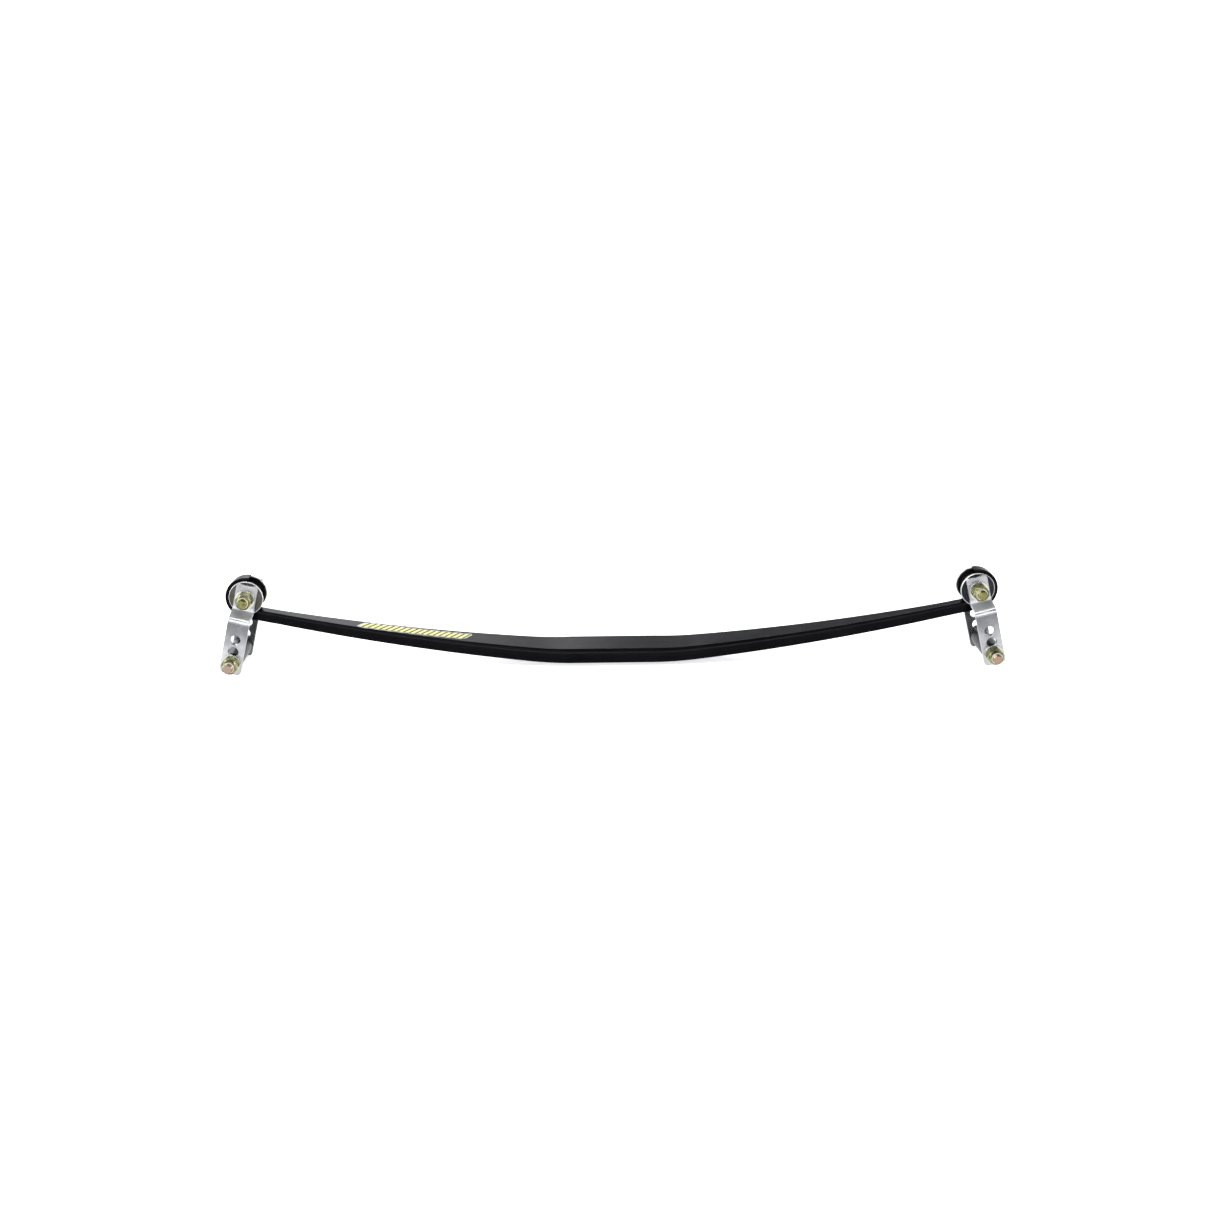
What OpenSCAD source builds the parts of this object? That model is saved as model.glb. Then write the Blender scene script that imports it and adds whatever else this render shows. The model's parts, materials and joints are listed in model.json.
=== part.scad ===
// Helper leaf spring: one tapered leaf with an open hook at each end, and a
// two-plate roller shackle hanging from each hook.
// +X runs along the leaf, +Y to the back, +Z up. The origin is the middle of
// the flat underside of the seat.

/* [Leaf] */
// Distance between the two eye centres
eye_span = 1092; // [900:1:1300]
// Width of the leaf at its seat
leaf_w = 63.5; // [50:0.5:76]
// Thickness of the leaf at its seat
leaf_t = 23; // [16:0.5:28]
// Half the length of the flat seat
seat_half = 66; // [40:1:90]
// Width of the leaf at its hooks
hook_w = 21; // [16:0.5:26]
// Length of arm that already has the hooks' width, before the eye
straight_run = 45; // [35:1:80]
// Radius of the bend next to the seat
bend_r = 600; // [400:10:900]
// Slope of the arm where that bend ends, degrees
bend_slope = 5.8; // [4:0.1:7]
// Slope of the arm where it enters the hook, degrees
end_slope = 12.6; // [11:0.1:14]

/* [Hooks] */
// Radius of the bearing surface inside the hook
eye_r = 19; // [15.5:0.1:23]
// Thickness of the arm under the eye
hook_t = 15.4; // [12:0.1:18]
// Thickness of the hook at its tip
tip_t = 10.2; // [6:0.1:12]
// Where the tip stops, degrees up from the outward direction
tip_angle = 101; // [80:1:115]
// How deep the roller is let into the top of the arm
cradle = 0.5; // [0.3:0.1:1]

/* [Decal] */
// Thickness of the decal
decal_t = 0.25; // [0.15:0.05:0.5]
// Width of the decal across the leaf
decal_w = 27; // [20:1:34]
// Length of the decal
decal_l = 177; // [100:1:200]
// Middle of the decal, out from the middle of the leaf
decal_mid = 300; // [200:1:320]

/* [Shackle plates] */
// Width of a plate
plate_w = 31.75; // [28:0.25:40]
// Thickness of a plate
plate_t = 6.35; // [4:0.05:8]
// Plate above the top bolt
plate_top = 21.7; // [18:0.1:28]
// Plate below the lowest hole
plate_foot = 16; // [14:0.5:24]
// Clear gap between the lower halves of the two plates
plate_gap = 76.2; // [70:0.1:90]
// Inside radius of the two bends in a plate
joggle_r = 3; // [2:0.5:4]
// Steepness of the joggle, degrees from the plate's own line
joggle_slope = 72; // [60:1:80]
// Flat of the plate past the edge of the washer, down to the first bend
flat_margin = 0.8; // [0.5:0.1:4]
// Radius of the plate's corners
corner_r = 5; // [2:0.5:8]
// Top bolt to the first height hole
first_hole = 58.3; // [50:0.1:70]
// Distance between height holes
hole_pitch = 19.05; // [17:0.05:24]
// Outward lean of the shackle, degrees
lean = 14.5; // [0:0.1:25]

/* [Rollers] */
// How far a roller flange stands out past the hook's bearing surface
flange_rise = 5.25; // [2:0.05:6]
// Thickness of a roller flange
flange_t = 2.6; // [2:0.1:4]
// How far a large disc covers past the hook's bearing surface
disc_cover = 6.4; // [3:0.1:9]
// Thickness of a large disc
disc_t = 3; // [2:0.1:4]
// Wall of both steel sleeves
sleeve_wall = 2.13; // [1:0.01:3]
// Wall of the lower roller
lower_roller_wall = 4.7; // [3:0.1:6]

/* [Fasteners] */
// Bolt diameter
bolt_d = 14.29; // [11:0.01:17.2]
// How far a flat of the bolt head stands out past the bolt
head_rise = 3.175; // [2:0.005:5]
// Bolt head height
head_h = 9.1; // [7:0.1:11]
// Least wall of the nut, at its flats
nut_wall = 3.955; // [3.5:0.005:5]
// Height of the hexagon of the nut
nut_hex_h = 11.6; // [9:0.1:14]
// Height of the nut's round collar
nut_collar_h = 4.7; // [3:0.1:6]
// Bolt standing out of the nut
tip_out = 5.5; // [3:0.1:10]
// How far a washer stands out past the bolt
washer_rise = 7.555; // [5:0.005:8]
// Washer thickness
washer_t = 2.4; // [1.5:0.1:3]

/* [Fits] */
// Radial running clearance of a roller on its sleeve and in its hook
running = 0.08; // [0.02:0.01:0.1]
// Side clearance of a moving face
side_play = 0.3; // [0.2:0.05:0.5]
// Radial clearance of a bolt in a nut
thread_play = 0.02; // [0.01:0.01:0.1]
// Radial clearance of a bolt in a sleeve, disc or washer
bolt_play = 0.25; // [0.1:0.05:0.4]
// Radial clearance of a bolt in the plates' holes
hole_play = 0.355; // [0.1:0.005:0.5]

/* [Hidden] */
$fn = 72;

LEFT = -1;
RIGHT = 1;
FRONT = -1;
REAR = 1;
// Extra length of a cutting tool past the faces it cuts
past = 1;

// ---- Leaf: the line of its underside is seat, bend arc, arm arc ----
eye_x = eye_span / 2;
end_x = eye_x + (hook_t + eye_r) * sin(end_slope);
bend_x = seat_half + bend_r * sin(bend_slope);
bend_z = bend_r * (1 - cos(bend_slope));
arm_r = (end_x - bend_x) / (sin(end_slope) - sin(bend_slope));
end_z = bend_z + arm_r * (cos(bend_slope) - cos(end_slope));
eye_z = end_z + (hook_t + eye_r) * cos(end_slope);
taper_x = eye_x - straight_run;

// Steps along the bend and along the arm
bend_steps = 6;
arm_steps = 24;
// Steps round the outside of the hook
hook_steps = 30;

bend_slopes = [for (i = [0 : bend_steps]) bend_slope * i / bend_steps];
arm_slopes = [for (i = [1 : arm_steps]) bend_slope + (end_slope - bend_slope) * i / arm_steps];

// A point of the underside where the bend, or the arm, has slope a
function bend_point(a) = [seat_half + bend_r * sin(a), bend_r * (1 - cos(a))];
function arm_point(a) = [
  bend_x + arm_r * (sin(a) - sin(bend_slope)),
  bend_z + arm_r * (cos(bend_slope) - cos(a))
];
// Thickness falls evenly from the seat to the eye
function thick(x) = leaf_t + (hook_t + cradle - leaf_t) * (x - seat_half) / (end_x - seat_half);
// The same point carried up, square to the leaf
function raised(p, a, h) = p + h * [-sin(a), cos(a)];

under = concat([for (a = bend_slopes) bend_point(a)], [for (a = arm_slopes) arm_point(a)]);
slopes = concat(bend_slopes, arm_slopes);
top = [for (i = [0 : len(under) - 1]) raised(under[i], slopes[i], thick(under[i][0]))];

top_skin = [for (i = [0 : len(under) - 1]) raised(top[i], slopes[i], decal_t)];

// The outside of the hook is a circle set off from the eye, so the hook thins to its tip
hook_out_r = eye_r + (hook_t + tip_t) / 2;
hook_shift = (hook_t - tip_t) / 2;
hook_c = [eye_x, eye_z] + hook_shift * [sin(end_slope), -cos(end_slope)];
hook_from = end_slope - 90;
hook_line = [
  for (i = [1 : hook_steps])
    let (a = hook_from + (tip_angle - hook_from) * i / hook_steps)
      hook_c + hook_out_r * [cos(a), sin(a)]
];
// A point inside the bore, on the line of the tip's end face
tip_in = [eye_x, eye_z] + 0.85 * eye_r * [cos(tip_angle), sin(tip_angle)];

function reversed(list) = [for (i = [len(list) - 1 : -1 : 0]) list[i]];
function mirrored(list) = [for (p = reversed(list)) [-p[0], p[1]]];

half_side = concat(under, hook_line, [tip_in], reversed(top));
side_outline = concat(half_side, mirrored(half_side));
half_plan = [
  [eye_x + 2 * hook_out_r, -hook_w / 2], [taper_x, -hook_w / 2], [seat_half, -leaf_w / 2]
];
plan_outline = concat(
  reversed(half_plan), [for (p = half_plan) [p[0], -p[1]]],
  [for (p = reversed(half_plan)) [-p[0], -p[1]]], [for (p = half_plan) [-p[0], p[1]]]
);

// ---- Diameters that follow the bolt and the eye ----
sleeve_r = bolt_d / 2 + bolt_play + sleeve_wall;
lower_roller_r = sleeve_r + running + lower_roller_wall;
flange_r = eye_r + flange_rise;
disc_r = eye_r + disc_cover;
hole_r = bolt_d / 2 + hole_play;
washer_r = bolt_d / 2 + washer_rise;
head_af = bolt_d + 2 * head_rise;
nut_af = bolt_d + 2 * nut_wall;

// ---- Stack on the top bolt, from the middle outwards ----
flange_in = hook_w / 2 + side_play;
flange_out = flange_in + flange_t;
disc_in = flange_out + side_play;
plate_in = disc_in + disc_t;
top_washer_in = plate_in + plate_t;
top_nut_in = top_washer_in + washer_t;

// ---- Joggle: the two bends and the straight between them ----
flat_below = washer_r + flat_margin;
joggle = plate_gap / 2 - plate_in;
joggle_l = (joggle - (2 * joggle_r + plate_t) * (1 - cos(joggle_slope))) / sin(joggle_slope);
lower_bend_z = -flat_below - (2 * joggle_r + plate_t) * sin(joggle_slope)
  - joggle_l * cos(joggle_slope);
bend_cuts = 6;

// ---- Stack on the lower bolt ----
lower_z = -(first_hole + 2 * hole_pitch);
lower_washer_in = plate_gap / 2 + plate_t;
lower_nut_in = lower_washer_in + washer_t;

// Insert of the lock nut: its wall and how far the collar closes over it
insert_wall = 2.2;
collar_lip = 0.8;
nut_h = nut_hex_h + nut_collar_h;
insert_h = nut_collar_h - collar_lip;
insert_r = bolt_d / 2 + thread_play + insert_wall;

// Puts a shackle piece on its end of the leaf, hung from the eye and leaning outwards
module at_end(side) {
  translate([side * eye_x, 0, eye_z])
    rotate([0, -side * lean, 0])
      children();
}

// A round piece along Y, from y0 to y1
module along_y(r, y0, y1) {
  translate([0, y1, 0])
    rotate([90, 0, 0])
      cylinder(r = r, h = y1 - y0);
}

// A flat ring along Y, from y0 to y1
module ring_y(outer_r, inner_r, y0, y1) {
  difference() {
    along_y(outer_r, y0, y1);
    along_y(inner_r, y0 - past, y1 + past);
  }
}

// A hexagon along Y with its corners turned off at the outer end
module hex_y(flats, y0, y1, outer_end) {
  corner = flats / sqrt(3);
  bevel = (corner - flats / 2) * 0.9;
  length = y1 - y0;
  blank_r = corner + past;
  translate([0, outer_end == REAR ? y0 : y1, 0])
    rotate([outer_end * -90, 0, 0])
      intersection() {
        cylinder(r = corner, h = length, $fn = 6);
        rotate_extrude()
          polygon([
            [0, 0], [blank_r, 0], [blank_r, length - bevel],
            [corner - 2 * bevel, length], [0, length]
          ]);
      }
}

module leaf_blade() {
  color("#17181a")
    difference() {
      intersection() {
        translate([0, leaf_w, 0])
          rotate([90, 0, 0])
            linear_extrude(height = 2 * leaf_w)
              polygon(side_outline);
        translate([0, 0, -leaf_t])
          linear_extrude(height = eye_z + hook_out_r + 2 * leaf_t)
            polygon(plan_outline);
      }
      for (side = [LEFT, RIGHT])
        translate([side * eye_x, 0, eye_z])
          along_y(eye_r, -leaf_w, leaf_w);
    }
}

// A skin on the top of the left arm, cut to the decal's length
module decal() {
  color("#d9d36a")
    mirror([1, 0, 0])
      translate([0, decal_w / 2, 0])
        rotate([90, 0, 0])
          linear_extrude(height = decal_w)
            intersection() {
              polygon(concat(top, reversed(top_skin)));
              translate([decal_mid - decal_l / 2, 0])
                square([decal_l, eye_z]);
            }
}

module hook_roller(side) {
  color("#101012")
    at_end(side)
      difference() {
        union() {
          along_y(eye_r - running, -flange_out, flange_out);
          along_y(flange_r, -flange_out, -flange_in);
          along_y(flange_r, flange_in, flange_out);
        }
        along_y(sleeve_r + running, -flange_out - past, flange_out + past);
      }
}

module roller_sleeve(side) {
  color("silver")
    at_end(side)
      ring_y(sleeve_r, bolt_d / 2 + bolt_play, -disc_in, disc_in);
}

// One large disc, at the front or the rear
module disc(side, face) {
  y0 = face == FRONT ? -plate_in : disc_in;
  color("#a7a39a")
    at_end(side)
      ring_y(disc_r, bolt_d / 2 + bolt_play, y0, y0 + disc_t);
}

// Side line of a plate: u outwards from the upper inner face, v up from the top bolt
function upper_arc(r) = [
  for (i = [0 : bend_cuts])
    let (a = 180 + joggle_slope * i / bend_cuts)
      [plate_t + joggle_r + r * cos(a), -flat_below + r * sin(a)]
];
function lower_arc(r) = [
  for (i = [0 : bend_cuts])
    let (a = joggle_slope * (1 - i / bend_cuts))
      [joggle - joggle_r + r * cos(a), lower_bend_z + r * sin(a)]
];
plate_end = -lower_z + plate_foot;
plate_line = concat(
  [[0, plate_top]], upper_arc(joggle_r + plate_t), lower_arc(joggle_r), [[joggle, -plate_end]],
  [[joggle + plate_t, -plate_end]], reversed(lower_arc(joggle_r + plate_t)),
  reversed(upper_arc(joggle_r)), [[plate_t, plate_top]]
);

// Front view of a plate: a rectangle with round corners
module plate_face() {
  inner_w = plate_w - 2 * corner_r;
  translate([-inner_w / 2, -plate_end])
    square([inner_w, plate_end + plate_top]);
  translate([-plate_w / 2, corner_r - plate_end])
    square([plate_w, plate_end + plate_top - 2 * corner_r]);
  for (x = [-inner_w / 2, inner_w / 2], z = [corner_r - plate_end, plate_top - corner_r])
    translate([x, z])
      circle(r = corner_r);
}

module plate(side, face) {
  reach = joggle + plate_t + plate_in;
  color("#b9bcc4")
    at_end(side)
      mirror([0, face == FRONT ? 1 : 0, 0])
        difference() {
          intersection() {
            translate([-plate_w, plate_in, 0])
              rotate([90, 0, 90])
                linear_extrude(height = 2 * plate_w)
                  polygon(plate_line);
            translate([0, reach + past, 0])
              rotate([90, 0, 0])
                linear_extrude(height = reach + 2 * past)
                  plate_face();
          }
          along_y(hole_r, 0, reach + past);
          for (i = [0 : 2])
            translate([0, 0, -(first_hole + i * hole_pitch)])
              along_y(hole_r, 0, reach + past);
        }
}

// A bolt with its head at the back; nut_in is where its nut and head washers end
module bolt(nut_in) {
  along_y(bolt_d / 2, -nut_in - nut_h - tip_out, nut_in + past);
  hex_y(head_af, nut_in, nut_in + head_h, REAR);
}

// The steel of a lock nut at the front: hexagon, collar and the groove of its insert
module lock_nut(nut_in) {
  difference() {
    union() {
      hex_y(nut_af, -nut_in - nut_hex_h, -nut_in, FRONT);
      along_y(nut_af / 2 - collar_lip, -nut_in - nut_h, -nut_in - nut_hex_h + past);
    }
    along_y(bolt_d / 2 + thread_play, -nut_in - nut_h - past, -nut_in + past);
    along_y(insert_r, -nut_in - nut_hex_h - insert_h, -nut_in - nut_hex_h);
    along_y(insert_r - collar_lip, -nut_in - nut_h - past, -nut_in - nut_hex_h);
  }
}

module nut_insert(nut_in) {
  ring_y(insert_r, bolt_d / 2 + thread_play, -nut_in - nut_hex_h - insert_h, -nut_in - nut_hex_h);
}

// One washer under the head and one under the nut
module washers(washer_in) {
  ring_y(washer_r, bolt_d / 2 + bolt_play, washer_in, washer_in + washer_t);
  ring_y(washer_r, bolt_d / 2 + bolt_play, -washer_in - washer_t, -washer_in);
}

module top_bolt(side) {
  color("#c9b765") at_end(side) bolt(top_nut_in);
}

module top_nut(side) {
  color("#b8ac52") at_end(side) lock_nut(top_nut_in);
}

module top_nut_insert(side) {
  color("#e8e6dc") at_end(side) nut_insert(top_nut_in);
}

module top_washers(side) {
  color("#c6c2a0") at_end(side) washers(top_washer_in);
}

// Moves a piece from the top bolt to the lower bolt
module at_lower(side) {
  at_end(side) translate([0, 0, lower_z]) children();
}

module lower_bolt(side) {
  color("#d2ab7c") at_lower(side) bolt(lower_nut_in);
}

module lower_nut(side) {
  color("#b8ac52") at_lower(side) lock_nut(lower_nut_in);
}

module lower_nut_insert(side) {
  color("#e8e6dc") at_lower(side) nut_insert(lower_nut_in);
}

module lower_washers(side) {
  color("#c6c2a0") at_lower(side) washers(lower_washer_in);
}

module lower_sleeve(side) {
  color("silver")
    at_lower(side)
      ring_y(sleeve_r, bolt_d / 2 + bolt_play, -plate_gap / 2, plate_gap / 2);
}

module lower_roller(side) {
  end_y = plate_gap / 2 - side_play;
  color("#1b1b1d")
    at_lower(side)
      ring_y(lower_roller_r, sleeve_r + running, -end_y, end_y);
}

leaf_blade();
decal();
hook_roller(LEFT);  // left_hook_roller
roller_sleeve(LEFT);  // left_roller_sleeve
disc(LEFT, FRONT);  // left_front_disc
disc(LEFT, REAR);  // left_rear_disc
plate(LEFT, FRONT);  // left_front_plate
plate(LEFT, REAR);  // left_rear_plate
top_bolt(LEFT);  // left_top_bolt
top_nut(LEFT);  // left_top_nut
top_nut_insert(LEFT);  // left_top_nut_insert
top_washers(LEFT);  // left_top_washers
lower_bolt(LEFT);  // left_lower_bolt
lower_nut(LEFT);  // left_lower_nut
lower_nut_insert(LEFT);  // left_lower_nut_insert
lower_washers(LEFT);  // left_lower_washers
lower_sleeve(LEFT);  // left_lower_sleeve
lower_roller(LEFT);  // left_lower_roller
hook_roller(RIGHT);  // right_hook_roller
roller_sleeve(RIGHT);  // right_roller_sleeve
disc(RIGHT, FRONT);  // right_front_disc
disc(RIGHT, REAR);  // right_rear_disc
plate(RIGHT, FRONT);  // right_front_plate
plate(RIGHT, REAR);  // right_rear_plate
top_bolt(RIGHT);  // right_top_bolt
top_nut(RIGHT);  // right_top_nut
top_nut_insert(RIGHT);  // right_top_nut_insert
top_washers(RIGHT);  // right_top_washers
lower_bolt(RIGHT);  // right_lower_bolt
lower_nut(RIGHT);  // right_lower_nut
lower_nut_insert(RIGHT);  // right_lower_nut_insert
lower_washers(RIGHT);  // right_lower_washers
lower_sleeve(RIGHT);  // right_lower_sleeve
lower_roller(RIGHT);  // right_lower_roller
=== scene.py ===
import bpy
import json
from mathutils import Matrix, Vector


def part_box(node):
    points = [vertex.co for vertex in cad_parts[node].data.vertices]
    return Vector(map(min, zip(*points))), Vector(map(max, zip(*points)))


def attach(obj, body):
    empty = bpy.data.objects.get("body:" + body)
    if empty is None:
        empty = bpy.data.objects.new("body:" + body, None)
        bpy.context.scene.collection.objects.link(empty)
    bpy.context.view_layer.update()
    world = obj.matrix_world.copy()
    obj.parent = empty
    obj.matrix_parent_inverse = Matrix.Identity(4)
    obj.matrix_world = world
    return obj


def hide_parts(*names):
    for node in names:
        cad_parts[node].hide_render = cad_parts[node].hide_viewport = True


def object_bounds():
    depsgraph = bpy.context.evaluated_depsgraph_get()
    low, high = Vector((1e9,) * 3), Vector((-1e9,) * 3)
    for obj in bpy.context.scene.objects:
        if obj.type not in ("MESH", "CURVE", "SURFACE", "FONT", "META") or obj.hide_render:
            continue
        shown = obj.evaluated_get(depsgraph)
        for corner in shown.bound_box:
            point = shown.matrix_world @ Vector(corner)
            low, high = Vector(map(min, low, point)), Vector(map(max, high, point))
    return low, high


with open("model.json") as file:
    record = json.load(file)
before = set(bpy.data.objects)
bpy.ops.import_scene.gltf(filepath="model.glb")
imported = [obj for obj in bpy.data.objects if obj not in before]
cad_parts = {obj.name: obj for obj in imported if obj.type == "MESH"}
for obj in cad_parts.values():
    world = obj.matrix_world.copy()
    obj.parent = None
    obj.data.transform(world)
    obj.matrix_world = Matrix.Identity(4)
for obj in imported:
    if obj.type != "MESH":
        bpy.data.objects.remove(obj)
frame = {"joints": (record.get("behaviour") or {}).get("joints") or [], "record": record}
cad_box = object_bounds()
print("CAD box:", [tuple(round(x, 4) for x in corner) for corner in cad_box])

# %% [markdown]
# ## Units and places
# Blender works in metres, while a maker thinks of this part in millimetres, so sizes are
# written as a number times `mm`. The hinge of each shackle gives the middle of its eye. The
# lower roller's hinge gives the lower bolt, and the line between the two gives the lean.
# %% Units and places
import json
import math

import bmesh
import bpy
from bmesh.types import BMEdge, BMVert
from mathutils import Matrix, Quaternion, Vector

mm = 0.001
same_place = 0.001 * mm
clean_cut = 0.0001 * mm
LEFT, RIGHT = -1, 1
FRONT, REAR = -1, 1
SIDES = {"left": LEFT, "right": RIGHT}

pivots = {joint["name"]: Vector(joint["pos_m"]) for joint in frame["joints"]}
eye = pivots["right_shackle_swing"]
hanger = pivots["right_lower_roller_turn"] - eye
lean = math.atan2(hanger.x, -hanger.z)
bolt_drop = hanger.length
print(f"eye at {eye.x:.3f}, lean {math.degrees(lean):.1f} degrees, bolts {bolt_drop:.4f} apart")


def at_eye(side):
    """The place of a piece on the top bolt: it hangs from the eye and leans outwards."""
    return Matrix.Translation((side * eye.x, 0, eye.z)) @ Matrix.Rotation(-side * lean, 4, "Y")


def at_lower_bolt(side):
    """The place of a piece on the lower bolt."""
    return at_eye(side) @ Matrix.Translation((0, 0, -bolt_drop))


bolt_places = [(name, where, place(side)) for name, side in SIDES.items()
               for where, place in (("top", at_eye), ("lower", at_lower_bolt))]


def measure(node):
    """Lowest y, highest y and radius of a round piece that lies along Y."""
    low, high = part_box(node)
    return low.y, high.y, (high.z - low.z) / 2


# %% [markdown]
# ## The camera
# The camera comes before the shapes, because it settles how large each detail shows. It stands
# about two metres away, a little above the spring, and looks down on it. Aim, distance,
# elevation, yaw and roll are easier to read than a matrix, so the matrix is worked out from them.
# %% Camera
camera_aim = Vector((-9.4 * mm, 0, 79.5 * mm))
camera_distance = 2169.5 * mm
camera_elevation = math.radians(19.07)
camera_yaw = math.radians(1.008)
camera_roll = math.radians(-0.361)
camera_lens = 42.66

level = math.cos(camera_elevation)
look = Vector((math.sin(camera_yaw) * level, math.cos(camera_yaw) * level,
               -math.sin(camera_elevation)))
camera = bpy.data.objects.new("camera", bpy.data.cameras.new("camera"))
camera.data.lens = camera_lens
camera.location = camera_aim - camera_distance * look
camera.rotation_mode = "QUATERNION"
camera.rotation_quaternion = look.to_track_quat("-Z", "Y") @ Quaternion((0, 0, 1), camera_roll)
bpy.context.scene.collection.objects.link(camera)
bpy.context.scene.camera = camera
print("camera at", tuple(round(x, 3) for x in camera.location))

# %% [markdown]
# ## Making a finish
# Each finish is a Principled shader with a few texture nodes. Small helpers keep the recipes
# short: they make a node, wire two sockets, place a noise, stretch its values, or colour them.
# Every pattern reads Object coordinates, which never slide, because each piece is at the origin.
# Blender's noise seldom leaves the middle of its range, so that middle is what gets stretched.
# %% Helpers for finishes
NOISE_LOW, NOISE_HIGH = 0.3, 0.7


def shader_of(finish):
    return finish.node_tree.nodes["Principled BSDF"]


def new_finish(name, **values):
    """A material with a Principled shader, and plain values set on the shader's sockets."""
    finish = bpy.data.materials.new(name)
    finish.use_nodes = True
    for socket, value in values.items():
        shader_of(finish).inputs[socket.replace("_", " ")].default_value = value
    return finish


def add_node(finish, kind, settings=None, **values):
    """A node of one kind, with its settings and the values of its sockets."""
    made = finish.node_tree.nodes.new(kind)
    for key, value in (settings or {}).items():
        setattr(made, key, value)
    for socket, value in values.items():
        made.inputs[socket.replace("_", " ")].default_value = value
    return made


def wire(finish, source, target):
    """Joins an output socket to an input socket, or sets the input to a plain number."""
    if isinstance(source, (int, float)):
        target.default_value = source
    else:
        finish.node_tree.links.new(source, target)


def dress(finish, colour, roughness, normal=None):
    """Wires the colour, the roughness and the bump of a finish into its shader."""
    inputs = shader_of(finish).inputs
    wire(finish, colour, inputs["Base Color"])
    wire(finish, roughness, inputs["Roughness"])
    if normal is not None:
        wire(finish, normal, inputs["Normal"])
    return finish


def placed(finish, centre=(0, 0, 0), turn=0, stretch=(1, 1, 1)):
    """Object coordinates, seen from a centre, then turned about Y, and then stretched."""
    vector = add_node(finish, "ShaderNodeTexCoord").outputs["Object"]
    for values in ({"Location": [-c for c in centre]}, {"Rotation": (0, turn, 0)},
                   {"Scale": stretch}):
        step = add_node(finish, "ShaderNodeMapping", **values)
        wire(finish, vector, step.inputs["Vector"])
        vector = step.outputs["Vector"]
    return vector


def part_of(finish, vector, axis):
    """One coordinate of a vector."""
    split = add_node(finish, "ShaderNodeSeparateXYZ")
    wire(finish, vector, split.inputs["Vector"])
    return split.outputs[axis]


def calculate(finish, operation, first, second=0):
    """The result of a Math node; each value may be a number or a socket."""
    made = add_node(finish, "ShaderNodeMath", {"operation": operation})
    wire(finish, first, made.inputs[0])
    wire(finish, second, made.inputs[1])
    return made.outputs["Value"]


def distance(finish, vector):
    """How far a vector reaches."""
    made = add_node(finish, "ShaderNodeVectorMath", {"operation": "LENGTH"})
    wire(finish, vector, made.inputs[0])
    return made.outputs["Value"]


def noise(finish, vector, scale, detail=3):
    """Cloudy noise, from 0 to 1."""
    made = add_node(finish, "ShaderNodeTexNoise", Scale=scale, Detail=detail, Roughness=0.55)
    wire(finish, vector, made.inputs["Vector"])
    return made.outputs["Fac"]


def spread(finish, factor, low, high, start=NOISE_LOW, end=NOISE_HIGH):
    """Stretches a range, such as the middle of a noise, between two values."""
    made = add_node(finish, "ShaderNodeMapRange", From_Min=start, From_Max=end,
                    To_Min=low, To_Max=high)
    wire(finish, factor, made.inputs["Value"])
    return made.outputs["Result"]


def tint(finish, factor, *stops):
    """Colours along a ramp: each stop is a place from 0 to 1 and a colour."""
    made = add_node(finish, "ShaderNodeValToRGB")
    ramp = made.color_ramp
    for index, (place, colour) in enumerate(stops):
        stop = ramp.elements[index] if index < 2 else ramp.elements.new(place)
        stop.position = place
        stop.color = (*colour, 1)
    wire(finish, factor, made.inputs["Fac"])
    return made.outputs["Color"]


def two_tone(finish, factor, dark, light):
    """Two colours over the middle of a noise."""
    return tint(finish, factor, (NOISE_LOW, dark), (NOISE_HIGH, light))


def greys(finish, factor, stops):
    """A ramp of plain greys: each stop is a place and a level."""
    return tint(finish, factor, *[(place, (level, level, level)) for place, level in stops])


def mix_colour(finish, factor, first, second, blend="MIX"):
    """The first colour where the factor is 0, and the second, or their product, where it is 1."""
    made = add_node(finish, "ShaderNodeMix", {"data_type": "RGBA", "blend_type": blend})
    first_colour, second_colour = made.inputs[6:8]
    wire(finish, factor, made.inputs["Factor"])
    wire(finish, first, first_colour)
    wire(finish, second, second_colour)
    return made.outputs[2]


def mix_value(finish, factor, first, second):
    """The same for two plain values; each may be a number or a socket."""
    made = add_node(finish, "ShaderNodeMix", {"data_type": "FLOAT"})
    for socket, value in (("Factor", factor), ("A", first), ("B", second)):
        wire(finish, value, made.inputs[socket])
    return made.outputs["Result"]


def relief(finish, height, depth, strength=1.0):
    """A bump of the given depth in metres."""
    made = add_node(finish, "ShaderNodeBump", Strength=strength, Distance=depth)
    wire(finish, height, made.inputs["Height"])
    return made.outputs["Normal"]


# %% [markdown]
# ## Gloss black paint
# The leaf is sprayed with gloss black. Sprayed paint is never a mirror: it keeps a slight
# orange peel, and it is a little duller in soft patches. A low index of refraction keeps the
# side of the leaf deep black, while the top face, seen at a low angle, still shines grey.
# %% Leaf paint


def leaf_paint():
    finish = new_finish("leaf_paint", IOR=1.11)
    vector = placed(finish)
    patches = noise(finish, vector, scale=24)
    colour = two_tone(finish, patches, (0.0007, 0.0007, 0.001), (0.002, 0.002, 0.003))
    peel = noise(finish, vector, scale=420, detail=2)
    return dress(finish, colour, spread(finish, patches, low=0.13, high=0.22),
                 relief(finish, peel, depth=0.05 * mm, strength=0.5))


leaf_black = leaf_paint()
print("made", leaf_black.name)

# %% [markdown]
# ## Clear zinc on the plates
# The plates are flat bar with clear zinc on it. Zinc plate is a soft lilac silver with cloudy
# patches, over the fine lengthwise lines of the rolled bar. The lines are a noise stretched
# along the plate, so each side needs its own turn of the pattern. Two ramps paint shade and
# light into the zinc by height: painted shade from the foot into the hollow under the bends and
# on the inner faces there, a painted highlight on the ledge, and painted shade above the bends.
# The press leaves the sloping ledge between the bends matt.
# %% Plate zinc
plate_t = 6.35 * mm
plate_low, plate_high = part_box("right_rear_plate")
inner_face = plate_high.y - plate_t
inner_fade = 5 * mm
foot_below_bolt = 112 * mm
bend_top, bend_foot = -31 * mm, -35 * mm
# Painted shade on the inner faces of the plates, below the bends.
painted_inner_shade = (0.36, 0.37, 0.37)
ledge_roughness = 0.6
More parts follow.
